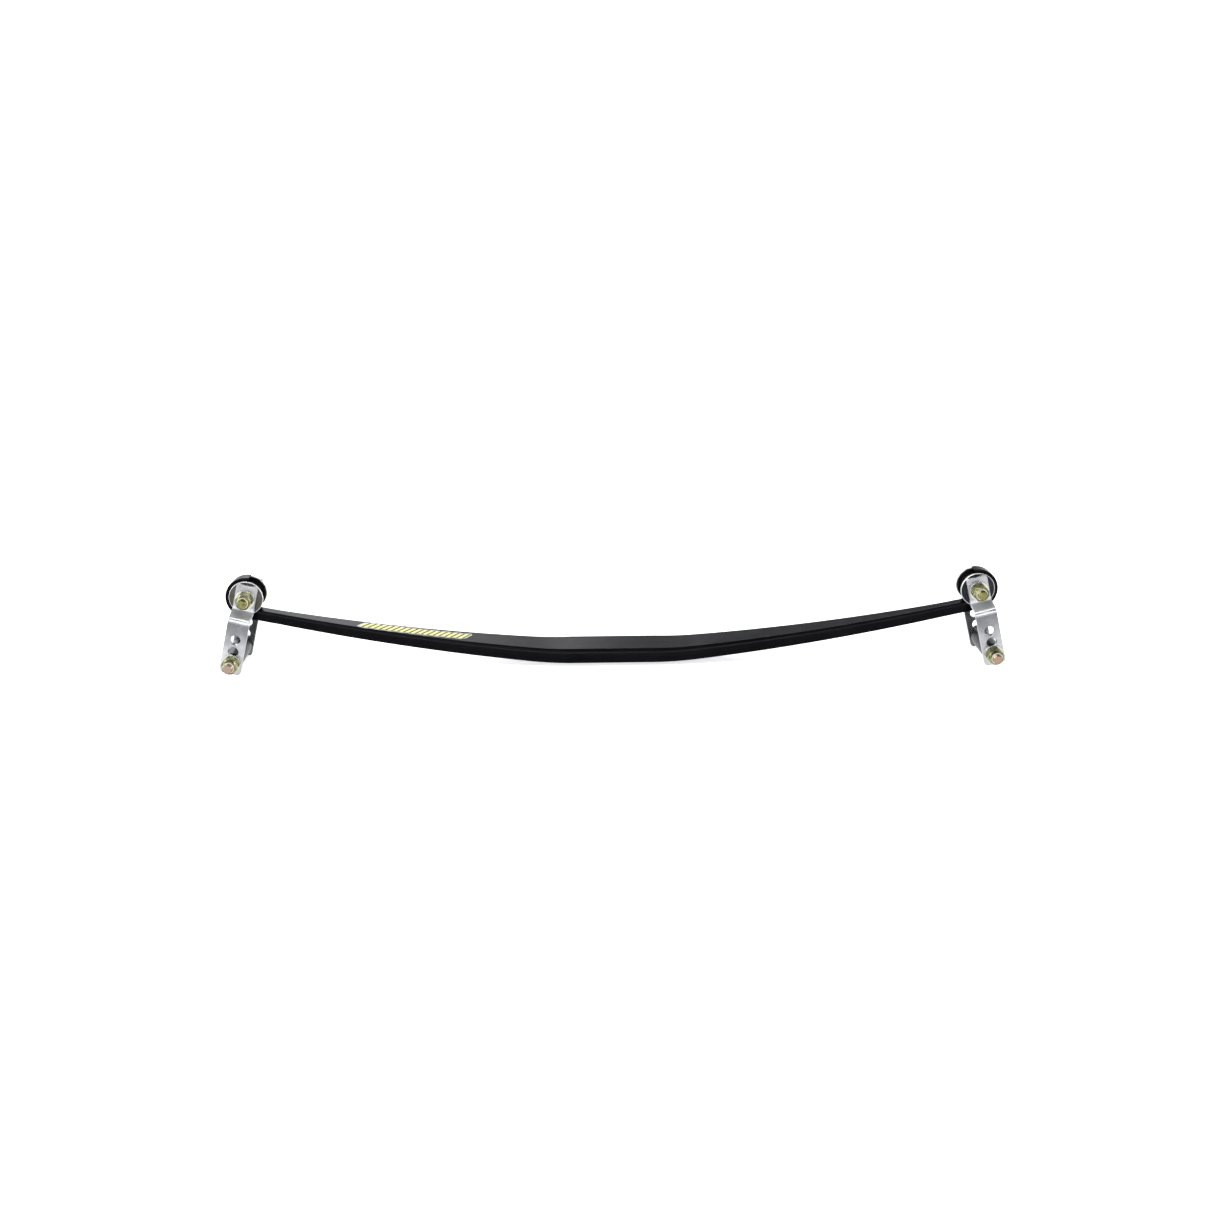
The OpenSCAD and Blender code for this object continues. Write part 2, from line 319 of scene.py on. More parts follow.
# Places run from the foot of the plate (0) to the top bolt (1). Each level darkens or lightens the
# zinc: painted shade towards the hollow under the lower bend and above the upper bend, and a
# painted highlight on the ledge.
painted_light_by_height = ((0, 1.0), (0.3, 0.74), (0.6, 0.38), (0.7, 0.28), (0.74, 0.7), (0.8, 1.2),
                 (0.86, 1.2), (0.9, 0.6))
ledge_places = ((0.77, 0), (0.8, 1), (0.86, 1), (0.89, 0))


def plate_zinc(name, side):
    finish = new_finish(f"{name}_plate_zinc", Metallic=1.0)
    centre = (side * eye.x, 0, eye.z)
    clouds = noise(finish, placed(finish, centre), scale=55, detail=4)
    clear = tint(finish, clouds, (0.3, (0.36, 0.365, 0.385)), (0.5, (0.46, 0.465, 0.485)),
                 (0.72, (0.56, 0.565, 0.58)))
    height = part_of(finish, placed(finish, centre, side * lean), "Z")
    share = spread(finish, height, 0, 1, -foot_below_bolt, 0)
    # Painted shade and painted highlight: the ramp by height is multiplied into the zinc colour.
    outer = mix_colour(finish, 1.0, clear, greys(finish, share, painted_light_by_height), "MULTIPLY")
    # Painted shade: the inner faces below the bends are multiplied darker.
    depth = calculate(finish, "ABSOLUTE", part_of(finish, placed(finish), "Y"))
    outwards = spread(finish, depth, 0, 1, inner_face, inner_face + inner_fade)
    inner = tint(finish, outwards, (0, painted_inner_shade), (0.6, (1, 1, 1)))
    below = spread(finish, height, 1, 0, bend_foot, bend_top)
    colour = mix_colour(finish, below, outer, inner, "MULTIPLY")
    roughness = mix_value(finish, greys(finish, share, ledge_places),
                          spread(finish, clouds, low=0.2, high=0.34), ledge_roughness)
    lines = noise(finish, placed(finish, centre, side * lean, (1, 1, 0.04)), scale=1400, detail=2)
    return dress(finish, colour, roughness, relief(finish, lines, depth=0.02 * mm, strength=0.35))


plate_finish = {name: plate_zinc(name, side) for name, side in SIDES.items()}
print("made", [finish.name for finish in plate_finish.values()])

# %% [markdown]
# ## Dulled zinc on the discs
# The large discs are punched from sheet and tumbled, so they are browner and duller than the
# plates, and the right disc is much darker still, which is painted shade. Faint rings round the
# bolt come from handling and from the disc turning against the plate. A ring pattern is a noise
# of the distance from the bolt, and the same distance paints a highlight along each disc's rim.
# %% Disc zinc
# Where the painted highlight along the rim begins and ends, measured from the bolt.
rim_highlight_from, rim_highlight_to = 24.3 * mm, 24.9 * mm
cloud_gain = 1.7


def disc_zinc(name, side, face_zinc):
    finish = new_finish(f"{name}_disc_zinc", Metallic=1.0)
    centre = (side * eye.x, 0, eye.z)
    clouds = noise(finish, placed(finish, centre), scale=70, detail=4)
    face = two_tone(finish, clouds, face_zinc, [cloud_gain * level for level in face_zinc])
    # Painted highlight: a much lighter zinc on the rim.
    rim = two_tone(finish, clouds, (0.45, 0.45, 0.43), (0.62, 0.62, 0.60))
    from_bolt = distance(finish, placed(finish, centre, 0, (1, 0, 1)))
    at_rim = spread(finish, from_bolt, 0, 1, rim_highlight_from, rim_highlight_to)
    rings = noise(finish, from_bolt, scale=900, detail=1)
    return dress(finish, mix_colour(finish, at_rim, face, rim),
                 spread(finish, clouds, low=0.22, high=0.38),
                 relief(finish, rings, depth=0.03 * mm, strength=0.5))


# The right disc's far darker zinc is painted shade; the left disc keeps the dull zinc.
dull_zinc_and_painted_shade = {"left": (0.042, 0.04, 0.034), "right": (0.012, 0.013, 0.016)}
disc_finish = {name: disc_zinc(name, side, dull_zinc_and_painted_shade[name]) for name, side in SIDES.items()}
print("made", [finish.name for finish in disc_finish.values()])

# %% [markdown]
# ## Yellow zinc on bolts, nuts and washers
# Yellow zinc is a thin chromate film, and it shimmers between gold, green and pink as the film
# gets thicker or thinner. A ramp with four colours over a slow noise gives that shimmer. The
# top bolts are greener and the lower bolts pinker. The washers are paler, so they take the same
# recipe with a washed-out ramp.
# %% Yellow zinc
film_places = (0.34, 0.46, 0.56, 0.68)


def yellow_zinc(name, colours):
    finish = new_finish(name, Metallic=1.0)
    vector = placed(finish)
    film = noise(finish, vector, scale=60, detail=2)
    wear = noise(finish, vector, scale=480, detail=2)
    grain = noise(finish, vector, scale=2600, detail=2)
    return dress(finish, tint(finish, film, *zip(film_places, colours)),
                 spread(finish, wear, low=0.13, high=0.26),
                 relief(finish, grain, depth=0.02 * mm, strength=0.3))


pink = (0.31, 0.205, 0.15)
tan = (0.25, 0.195, 0.145)
gold = (0.20, 0.175, 0.075)
straw = (0.31, 0.305, 0.155)
green = (0.115, 0.127, 0.045)
olive = (0.03, 0.032, 0.014)
silver = (0.40, 0.41, 0.37)
pale_straw = (0.48, 0.47, 0.38)
nut_finish = yellow_zinc("nut_yellow_zinc", (olive, green, straw, olive))
bolt_finish = {"top": yellow_zinc("top_bolt_yellow_zinc", (olive, gold, green, gold)),
               "lower": yellow_zinc("lower_bolt_yellow_zinc", (gold, pink, tan, pink))}
washer_finish = yellow_zinc("washer_yellow_zinc", (silver, pale_straw, silver, pale_straw))
print("made", nut_finish.name, washer_finish.name, [f.name for f in bolt_finish.values()])

# %% [markdown]
# ## Urethane, steel tube and nylon
# The spools and lower rollers are cast black urethane, which has a soft satin sheen and a
# slightly uneven skin. The sleeves inside them are drawn steel tube. The insert of each lock
# nut is plain nylon, which is milky and lets a little light in.
# %% Urethane, steel and nylon


def urethane():
    finish = new_finish("black_urethane", IOR=1.22)
    vector = placed(finish)
    patches = noise(finish, vector, scale=90)
    skin = noise(finish, vector, scale=1500, detail=2)
    return dress(finish,
                 two_tone(finish, patches, (0.0015, 0.0015, 0.002), (0.004, 0.004, 0.005)),
                 spread(finish, patches, low=0.2, high=0.34),
                 relief(finish, skin, depth=0.04 * mm, strength=0.4))


def drawn_steel():
    finish = new_finish("drawn_steel", Metallic=1.0)
    lines = noise(finish, placed(finish, stretch=(1, 0.03, 1)), scale=1800, detail=2)
    return dress(finish, two_tone(finish, lines, (0.42, 0.41, 0.40), (0.55, 0.55, 0.54)),
                 spread(finish, lines, low=0.22, high=0.34),
                 relief(finish, lines, depth=0.02 * mm, strength=0.3))


def nylon():
    finish = new_finish("natural_nylon", Subsurface_Weight=0.2, Subsurface_Scale=1 * mm)
    patches = noise(finish, placed(finish), scale=500, detail=2)
    return dress(finish, two_tone(finish, patches, (0.66, 0.64, 0.54), (0.74, 0.72, 0.64)),
                 spread(finish, patches, low=0.35, high=0.5))


spool_finish = urethane()
sleeve_finish = drawn_steel()
insert_finish = nylon()
print("made", spool_finish.name, sleeve_finish.name, insert_finish.name)

# %% [markdown]
# ## Making a piece
# Every piece goes the same way: its bmesh becomes a mesh at the origin, it is shaded smooth
# with sharp edges kept, and it is told which body it rides on and which CAD part it stands for.
# A Weighted Normal modifier keeps wide faces looking flat right up to their rounded edges.
# %% Helpers for pieces
SHARP_ANGLE = math.radians(38)


def add_object(name, bm, material):
    """Turns a bmesh into a smooth object at the origin."""
    mesh = bpy.data.meshes.new(name)
    bm.to_mesh(mesh)
    bm.free()
    mesh.shade_smooth()
    mesh.materials.append(material)
    made = bpy.data.objects.new(name, mesh)
    bpy.context.scene.collection.objects.link(made)
    return made


def finish_piece(node, bm, material, body, ending="finished"):
    """Turns a bmesh into the piece that stands for a CAD node."""
    piece = add_object(f"{node}_{ending}", bm, material)
    piece.data.set_sharp_from_angle(angle=SHARP_ANGLE)
    even = piece.modifiers.new("even_shading", "WEIGHTED_NORMAL")
    even.keep_sharp = True
    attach(piece, body)
    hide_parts(node)
    print(f"{piece.name}: {len(piece.data.polygons)} faces")


def everything(bm):
    return bm.verts[:] + bm.edges[:] + bm.faces[:]


def only(kind, items):
    """The vertices, or the edges, among the things that an operator made."""
    return [item for item in items if isinstance(item, kind)]


def soften(bm, width, segments=2, least_angle=math.radians(40), above=-math.inf):
    """Rounds the edges that are sharper than the least angle, and lie above this y."""
    sharp = [e for e in bm.edges
             if len(e.link_faces) == 2 and e.calc_face_angle() > least_angle
             and all(v.co.y > above for v in e.verts)]
    bmesh.ops.bevel(bm, geom=sharp, offset=width, offset_type="OFFSET", affect="EDGES",
                    segments=segments, profile=0.5, material=-1, clamp_overlap=True)


def spin_once(bm, line, steps, axis=(0, 1, 0), creep=0, merge_dist=same_place, closed=False):
    """Joins a line of vertices and spins it once round; it may creep along Y at each step."""
    edges = [bm.edges.new(pair) for pair in zip(line, line[1:])]
    if closed:
        edges.append(bm.edges.new((line[-1], line[0])))
    bmesh.ops.spin(bm, geom=line + edges, cent=(0, 0, 0), axis=axis, dvec=(0, creep, 0),
                   angle=math.tau, steps=steps, use_merge=creep == 0, use_duplicate=False)
    bmesh.ops.remove_doubles(bm, verts=bm.verts, dist=merge_dist)


def spin_line(bm, points, closed, steps=72):
    """Spins a line of (radius, y) points once round the Y axis."""
    line = [bm.verts.new((radius, y, 0)) for radius, y in points]
    spin_once(bm, line, steps, closed=closed)


def turned(points, closed=True, steps=72):
    """A round piece from half its cross-section, as it would come off a lathe."""
    bm = bmesh.new()
    spin_line(bm, points, closed, steps)
    bmesh.ops.recalc_face_normals(bm, faces=bm.faces)
    return bm


# %% [markdown]
# ## The line of the leaf
# A leaf is easiest to think of as a row of stations. Each has a point on the underside and one
# on the top, square across from it. The underside is a flat seat, a short bend and a long, even
# curve, and then it goes round the eye on a circle set a little off centre, so that the hook
# thins towards its tip. The top face gets thinner evenly from the seat to the eye.
# %% The line of the leaf
seat_half = 66 * mm
bend_r = 600 * mm
bend_slope = math.radians(5.8)
end_slope = math.radians(12.6)
eye_r = 19 * mm
hook_t = 15.4 * mm
tip_t = 10.2 * mm
tip_angle = math.radians(101)
cradle = 0.5 * mm
tip_round = 0.5 * mm
leaf_t = next(m["pos_m"][2] for m in frame["record"]["mounts"] if m["name"] == "seat_top")

end_x = eye.x + (hook_t + eye_r) * math.sin(end_slope)
bend_x = seat_half + bend_r * math.sin(bend_slope)
bend_z = bend_r * (1 - math.cos(bend_slope))
arm_r = (end_x - bend_x) / (math.sin(end_slope) - math.sin(bend_slope))
eye_middle = Vector((eye.x, eye.z))


def along(angle):
    """The direction at an angle in the XZ plane."""
    return Vector((math.cos(angle), math.sin(angle)))


def underside(slope):
    """The point of the underside that has this slope."""
    if slope <= bend_slope:
        return Vector((seat_half + bend_r * math.sin(slope), bend_r * (1 - math.cos(slope))))
    return Vector((bend_x + arm_r * (math.sin(slope) - math.sin(bend_slope)),
                   bend_z + arm_r * (math.cos(bend_slope) - math.cos(slope))))


def top_face(slope):
    """The point of the top face across from it, kept out of the eye."""
    low = underside(slope)
    thinning = (low.x - seat_half) / (end_x - seat_half)
    thickness = leaf_t + (hook_t + cradle - leaf_t) * thinning
    top = low + thickness * along(slope + math.pi / 2)
    from_eye = top - eye_middle
    if from_eye.length < eye_r:
        top = eye_middle + from_eye.normalized() * eye_r
    return top


def leaf_stations(bend_steps=8, arm_steps=44, cradle_steps=4, hook_steps=48):
    """Pairs of bottom and top points, from the middle of the leaf to the tip of its hook."""
    stations = [(Vector((x, 0)), Vector((x, leaf_t))) for x in (0, seat_half / 2)]
    half_chord = math.sqrt(eye_r ** 2 - (eye_r - cradle) ** 2)
    arm_end = end_slope - half_chord / arm_r
    slopes = [bend_slope * i / bend_steps for i in range(bend_steps)]
    slopes += [bend_slope + (arm_end - bend_slope) * i / arm_steps for i in range(arm_steps)]
    slopes += [arm_end + (end_slope - arm_end) * i / cradle_steps for i in range(cradle_steps)]
    stations += [(underside(slope), top_face(slope)) for slope in slopes]
    outside_r = eye_r + (hook_t + tip_t) / 2
    outside_middle = eye_middle + (hook_t - tip_t) / 2 * along(end_slope - math.pi / 2)
    hook_start = end_slope - math.pi / 2
    hook_stop = tip_angle - tip_round / eye_r
    for i in range(hook_steps + 1):
        ray = along(hook_start + (hook_stop - hook_start) * i / hook_steps)
        stations.append((outside_middle + outside_r * ray, eye_middle + eye_r * ray))
    return stations


stations = leaf_stations()
print(len(stations), "stations, arm radius", round(arm_r, 3))

# %% [markdown]
# ## The section of the leaf
# Spring steel bar is rolled with round sides and small corners, and the thin highlights along
# the side of a painted leaf come from exactly those. The section is a ring of points, each
# given by its side, its level, and its share of an arc. So the same ring fits every station,
# however wide or thick the leaf is there.
# %% The section of the leaf
seat_half_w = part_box("leaf_blade")[1].y
hook_half_w = 10.5 * mm
straight_run = 45 * mm
side_r = 20 * mm
side_share = 2 / 3
hook_corner_r = 1.3 * mm
corner_growth = 0.9 * mm
edge_strip = 0.5 * mm
shares = [i / 4 for i in range(5)]


def half_width(x):
    """Half the width in plan: full at the seat, then an even taper to the hook."""
    taper = (x - seat_half) / (eye.x - straight_run - seat_half)
    return seat_half_w + (hook_half_w - seat_half_w) * min(max(taper, 0), 1)


def section_ring():
    """(side, level, kind, share) for each point: level is -1 at the bottom and 1 at the top."""
    right = [(1, -1, "strip", 0)]
    right += [(1, -1, "corner", 1 - share) for share in shares]
    right += [(1, level, "side", side_share) for level in (-1, 0, 1)]
    right += [(1, 1, "corner", share) for share in shares]
    right += [(1, 1, "strip", 0)]
    return right + [(-side, level, kind, share) for side, level, kind, share in right[::-1]]


def section_point(place, bottom, top):
    """Where one point of the ring lies at a station."""
    side, level, kind, share = place
    up = top - bottom
    half = half_width(bottom.x)
    widening = (half - hook_half_w) / (seat_half_w - hook_half_w)
    corner = hook_corner_r + corner_growth * widening
    tilt = math.asin((up.length / 2 - corner) / (side_r - corner))
    corner_across = half - side_r + (side_r - corner) * math.cos(tilt)
    if kind == "side":
        across = half - side_r + side_r * math.cos(tilt * share * level)
        height = side_r * math.sin(tilt * share * level)
    else:
        turn = tilt + (math.pi / 2 - tilt) * share
        reach = corner * math.cos(turn) if kind == "corner" else -edge_strip
        rise = corner * math.sin(turn) if kind == "corner" else corner
        across = corner_across + reach
        height = level * (up.length / 2 - corner + rise)
    at = (bottom + top) / 2 + up.normalized() * height
    return Vector((at.x, side * across, at.y))


ring = section_ring()
print(len(ring), "points in a section")

# %% [markdown]
# ## The leaf
# The first section is drawn at the middle of the leaf, and its edges are extruded once for each
# station. A number kept on every vertex says which point of the ring it is, and the extrude
# copies it, so each new vertex knows where to go. The tip is capped and its rim is rounded with
# three insets. Then one mirror makes the other half.
# %% Leaf blade
tip_insets = ((0.15, 0.5), (0.35, 0.35), (0.5, 0.15))


def leaf_mesh():
    bm = bmesh.new()
    number = bm.verts.layers.int.new("ring_point")
    line = []
    for index, place in enumerate(ring):
        vertex = bm.verts.new(section_point(place, *stations[0]))
        vertex[number] = index
        line.append(vertex)
    edges = [bm.edges.new((line[i - 1], line[i])) for i in range(len(line))]
    for bottom, top in stations[1:]:
        made = bmesh.ops.extrude_edge_only(bm, edges=edges)["geom"]
        for vertex in only(BMVert, made):
            vertex.co = section_point(ring[vertex[number]], bottom, top)
        edges = [edge for edge in only(BMEdge, made) if len(edge.link_faces) == 1]
    cap = bmesh.ops.edgeloop_fill(bm, edges=edges)["faces"]
    bmesh.ops.recalc_face_normals(bm, faces=bm.faces)
    for inset, rise in tip_insets:
        bmesh.ops.inset_region(bm, faces=cap, thickness=inset * tip_round,
                               depth=rise * tip_round, use_even_offset=True)
    bmesh.ops.mirror(bm, geom=everything(bm), merge_dist=10 * same_place, axis="X")
    bmesh.ops.recalc_face_normals(bm, faces=bm.faces)
    return bm


finish_piece("leaf_blade", leaf_mesh(), leaf_black, "leaf", "forged")

# %% [markdown]
# ## The decal
# A vinyl decal lies on the top of the left arm. It is a thin grid, cut to a slanting outline
# with a wavy edge, and then wrapped on the top face. Its flat place is kept in a UV map before
# it is wrapped, so the printed bars follow the vinyl. It carries no words.
# %% Decal
decal_l = 177 * mm
decal_w = 27 * mm
decal_mid = 300 * mm
decal_t = 0.25 * mm
decal_slant = math.tan(math.radians(28))
vinyl_t = 0.8 * decal_t
bar_pitch = 9.6 * mm
wave_depth = 0.07
end_start = 0.94
end_narrowing = 0.35
halvings = 40


def slope_at(distance):
    """The slope where the top face is this far from the middle, found by halving."""
    low, high = bend_slope, end_slope
    for _ in range(halvings):
        middle = (low + high) / 2
        low, high = (middle, high) if top_face(middle).x < distance else (low, middle)
    return low


def decal_mesh(columns=90, rows=8):
    bm = bmesh.new()
    bmesh.ops.create_grid(bm, x_segments=columns, y_segments=rows, size=0.5, calc_uvs=False)
    uv = bm.loops.layers.uv.new("vinyl")
    flat = {}
    for vertex in bm.verts:
        u, v = vertex.co.x * 2, vertex.co.y * 2
        flat[vertex] = (u, v)
        wave = 1 - wave_depth + wave_depth * math.sin(math.tau * u * decal_l / 2 / (bar_pitch * 2))
        ends = 1 - end_narrowing * max(abs(u) - end_start, 0) / (1 - end_start)
        reach = decal_w / 2 * wave * ends
        lie = (decal_l / 2 - decal_w / 2 * decal_slant) * u + v * reach * decal_slant
        slope = slope_at(decal_mid - lie)
        at = top_face(slope) + decal_t * along(slope + math.pi / 2)
        vertex.co = (-at.x, v * reach, at.y)
    for face in bm.faces:
        for loop in face.loops:
            loop[uv].uv = [(value + 1) / 2 for value in flat[loop.vert]]
    bmesh.ops.recalc_face_normals(bm, faces=bm.faces)
    top_side = bm.faces[:]
    if top_side[0].normal.z < 0:
        bmesh.ops.reverse_faces(bm, faces=top_side)
    made = bmesh.ops.extrude_face_region(bm, geom=top_side, use_keep_orig=True)["geom"]
    for vertex in only(BMVert, made):
        vertex.co.z -= vinyl_t
    bmesh.ops.recalc_face_normals(bm, faces=bm.faces)
    return bm


bar_reach = 0.33
bar_height = 0.4
rim_across = 0.45
rim_along = 0.488


def decal_vinyl():
    """Pale yellow slanting bars on a dark ground, with a white rim."""
    finish = new_finish("decal_vinyl", IOR=1.2)
    place = add_node(finish, "ShaderNodeUVMap", {"uv_map": "vinyl"}).outputs["UV"]
    along_it, across_it = part_of(finish, place, "X"), part_of(finish, place, "Y")

    def from_middle(value):
        return calculate(finish, "ABSOLUTE", calculate(finish, "SUBTRACT", value, 0.5))

    across = from_middle(across_it)
    bars = calculate(finish, "FRACT", calculate(finish, "MULTIPLY", along_it, decal_l / bar_pitch))
    in_bar = calculate(finish, "LESS_THAN", from_middle(bars), bar_reach)
    in_height = calculate(finish, "LESS_THAN", across, bar_height)
    yellow = calculate(finish, "MULTIPLY", in_bar, in_height)
    rim = calculate(finish, "MAXIMUM", calculate(finish, "GREATER_THAN", across, rim_across),
                    calculate(finish, "GREATER_THAN", from_middle(along_it), rim_along))
    ink = noise(finish, placed(finish), scale=260)
    print_yellow = two_tone(finish, ink, (0.62, 0.62, 0.22), (0.76, 0.76, 0.34))
    ground = two_tone(finish, ink, (0.012, 0.012, 0.008), (0.03, 0.03, 0.02))
    white = two_tone(finish, ink, (0.52, 0.52, 0.50), (0.62, 0.62, 0.60))
    body = mix_colour(finish, yellow, ground, print_yellow)
    return dress(finish, mix_colour(finish, rim, body, white),
                 spread(finish, ink, low=0.4, high=0.55))


finish_piece("decal", decal_mesh(), decal_vinyl(), "leaf", "vinyl")

# %% [markdown]
# ## Turned pieces
# The spools, tubes, discs and washers are all bodies of revolution. Each is half a
# cross-section, read off the frame where it can be, spun once round the bolt's axis and then
# softened along its edges. Modelling them as turned work keeps their bores true.
# %% Spools, tubes, discs and washers
bolt_r = 14.29 / 2 * mm
bolt_play = 0.25 * mm
running = 0.08 * mm
flange_t = 2.6 * mm
flange_groove = 0.25 * mm
washer_t = 2.4 * mm
bolt_hole = bolt_r + bolt_play
sleeve_r = measure("right_roller_sleeve")[2]
print("sleeve radius", round(sleeve_r, 5))


def ring_points(outer, inner, low, high):
    """Half the cross-section of a plain ring."""
    return [(inner, low), (outer, low), (outer, high), (inner, high)]


def spool_mesh(node):
    """A barrel with a flange at each end, with a fine moulding line round each flange."""
    low, high, flange_r = measure(node)
    barrel = eye_r - running
    bore = sleeve_r + running
    inner = high - flange_t
    middle = (inner + high) / 2
    rim = [(flange_r, inner), (flange_r, middle - flange_groove),
           (flange_r - flange_groove, middle), (flange_r, middle + flange_groove),
           (flange_r, high)]
    half = [(barrel, 0), (barrel, inner)] + rim + [(bore, high)]
    other = [(radius, -y) for radius, y in reversed(half)]
    bm = turned(other[:-1] + half, steps=96)
    soften(bm, width=0.5 * mm, segments=3, least_angle=math.radians(60))
    return bm


def ring_mesh(node, bore, edge, steps=72):
    """A plain ring with softened edges, as wide and as long as its CAD node."""
    low, high, radius = measure(node)
    bm = turned(ring_points(radius, bore, low, high), steps=steps)
    soften(bm, edge, segments=3)
    return bm


def washer_pair(node):
    """The washer under the nut and the one under the head, as one piece."""
    low, high, radius = measure(node)
    bm = bmesh.new()
    for start in (low, high - washer_t):
        spin_line(bm, ring_points(radius, bolt_hole, start, start + washer_t), True)
    bmesh.ops.recalc_face_normals(bm, faces=bm.faces)
    soften(bm, width=0.35 * mm, segments=3)
    return bm


def put(bm, place):
    """Moves a finished bmesh to its place on the spring."""
    bmesh.ops.transform(bm, matrix=place, verts=bm.verts)
    return bm


for name, side in SIDES.items():
    upper, lower = at_eye(side), at_lower_bolt(side)
    shackle = f"{name}_shackle"
    node = f"{name}_hook_roller"
    finish_piece(node, put(spool_mesh(node), upper), spool_finish, f"{name}_spool")
    node = f"{name}_lower_roller"
    tube = ring_mesh(node, sleeve_r + running, edge=0.8 * mm)
    finish_piece(node, put(tube, lower), spool_finish, f"{name}_tube")
    for node, place in ((f"{name}_roller_sleeve", upper), (f"{name}_lower_sleeve", lower)):
        tube = ring_mesh(node, bolt_hole, edge=0.3 * mm)
        finish_piece(node, put(tube, place), sleeve_finish, shackle)
    for node in (f"{name}_front_disc", f"{name}_rear_disc"):
        disc = ring_mesh(node, bolt_hole, edge=0.9 * mm, steps=96)
        finish_piece(node, put(disc, upper), disc_finish[name], shackle)
    for node, place in ((f"{name}_top_washers", upper), (f"{name}_lower_washers", lower)):
        finish_piece(node, put(washer_pair(node), place), washer_finish, shackle)

# %% [markdown]
# ## The shackle plates
# A press shop cuts a plate flat, punches its holes, and then bends it twice so that it steps
# outwards past the leaf pack. The same order works here. The blank's corners are a vertex
# bevel, its holes are circles, and a fill makes the face. Insets round its rims, and cuts
# across it give the bends something to bend.
# %% Flat blank
plate_w = 31.75 * mm
plate_top = 21.7 * mm
plate_foot = 16 * mm
corner_r = 5 * mm
rim_r = 0.8 * mm
rim_steps = 3
first_hole = 58.3 * mm
hole_pitch = 19.05 * mm
hole_r = next(m["dims"]["r_mm"] for m in frame["record"]["mounts"]
              if m["name"] == "left_height_hole") * mm
joggle_r = 3 * mm
joggle_slope = math.radians(72)
flat_below = 15.5 * mm
plate_in = plate_low.y
joggle = inner_face - plate_in
full_turn_in = (2 * joggle_r + plate_t) * (1 - math.cos(joggle_slope))
joggle_l = (joggle - full_turn_in) / math.sin(joggle_slope)
lower_bend_z = (-flat_below - (2 * joggle_r + plate_t) * math.sin(joggle_slope)
                - joggle_l * math.cos(joggle_slope))
bend_length = (joggle_r + plate_t / 2) * joggle_slope
first_bend = flat_below
first_end = first_bend + bend_length
second_bend = first_end + joggle_l
second_end = second_bend + bend_length
blank_end = second_end + bolt_drop + plate_foot + lower_bend_z
print(f"joggle {joggle / mm:.1f} mm, blank {(plate_top + blank_end) / mm:.1f} mm long")


def blank_mesh():
    """The flat plate: x across it, y through it, and -z along it from the top bolt."""
    bm = bmesh.new()
    half = plate_w / 2
    corners = [bm.verts.new((x, 0, z)) for x, z in
               ((-half, -blank_end), (half, -blank_end), (half, plate_top), (-half, plate_top))]
    bm.faces.new(corners)
    bmesh.ops.bevel(bm, geom=corners, offset=corner_r, offset_type="OFFSET", affect="VERTICES",
                    segments=8, profile=0.5, material=-1)
    bmesh.ops.delete(bm, geom=bm.faces[:], context="FACES_ONLY")
    upright = Matrix.Rotation(math.pi / 2, 4, "X")
    drops = [0] + [second_end + lower_bend_z + first_hole + index * hole_pitch
                   for index in range(3)]
    for drop in drops:
        bmesh.ops.create_circle(bm, cap_ends=False, radius=hole_r, segments=48,
                                matrix=Matrix.Translation((0, 0, -drop)) @ upright)
    bmesh.ops.triangle_fill(bm, edges=bm.edges[:], use_beauty=True, normal=(0, -1, 0))
    return bm


def thicken(bm):
    """Gives the blank its thickness, with a rounded rim on both faces."""
    sheet = bm.faces[:]
    made = bmesh.ops.extrude_face_region(bm, geom=sheet, use_keep_orig=True)["geom"]
    bmesh.ops.translate(bm, verts=bm.verts, vec=(0, rim_r, 0))
    bmesh.ops.translate(bm, verts=only(BMVert, made), vec=(0, plate_t - 2 * rim_r, 0))
    bmesh.ops.recalc_face_normals(bm, faces=bm.faces)
    for level in (rim_r, plate_t - rim_r):
        cap = [f for f in bm.faces
               if all(abs(v.co.y - level) < same_place for v in f.verts)]
        for step in range(rim_steps):
            before, after = (math.pi / 2 * (step + i) / rim_steps for i in range(2))
            bmesh.ops.inset_region(bm, faces=cap, use_boundary=True, use_even_offset=True,
                                   thickness=rim_r * (math.cos(before) - math.cos(after)),
                                   depth=rim_r * (math.sin(after) - math.sin(before)))
    return bm


# %% [markdown]
# ## Bending the plates
# Once the blank is cut across, every vertex has a place along the bar and a depth in it. The
# path of the bar is flat, arc, straight, arc, flat, so its place on the path follows from those
# two numbers. The front plate is the same bar turned over.
# %% Bend and place the plates
just_before = 1e-9


def on_path(travel, depth):
    """Distance out from the upper inner face, and height, for a point of the bent bar."""
    if travel <= first_bend:
        return depth, -travel
    if travel < first_end:
        turn = (travel - first_bend) / bend_length * joggle_slope
        reach = plate_t + joggle_r - depth
        return (plate_t + joggle_r - reach * math.cos(turn),
                -flat_below - reach * math.sin(turn))
    if travel <= second_bend:
        out, height = on_path(first_end - just_before, depth)
        run = travel - first_end
        return out + run * math.sin(joggle_slope), height - run * math.cos(joggle_slope)
    if travel < second_end:
        turn = joggle_slope * (1 - (travel - second_bend) / bend_length)
        reach = joggle_r + depth
        return joggle - joggle_r + reach * math.cos(turn), lower_bend_z + reach * math.sin(turn)
    return joggle + depth, lower_bend_z - (travel - second_end)


def plate_mesh(face, bend_steps=8):
    bm = thicken(blank_mesh())
    cuts = [start + bend_length * i / bend_steps
            for start in (first_bend, second_bend) for i in range(bend_steps + 1)]
    for cut in cuts:
        bmesh.ops.bisect_plane(bm, geom=everything(bm), dist=same_place,
                               plane_co=(0, 0, -cut), plane_no=(0, 0, 1))
    for vertex in bm.verts:
        out, height = on_path(-vertex.co.z, vertex.co.y)
        vertex.co = (vertex.co.x, face * (plate_in + out), height)
    bmesh.ops.recalc_face_normals(bm, faces=bm.faces)
    return bm


for name, side in SIDES.items():
    for face_name, face in (("front", FRONT), ("rear", REAR)):
        finish_piece(f"{name}_{face_name}_plate", put(plate_mesh(face), at_eye(side)),
                     plate_finish[name], f"{name}_shackle", "bent")

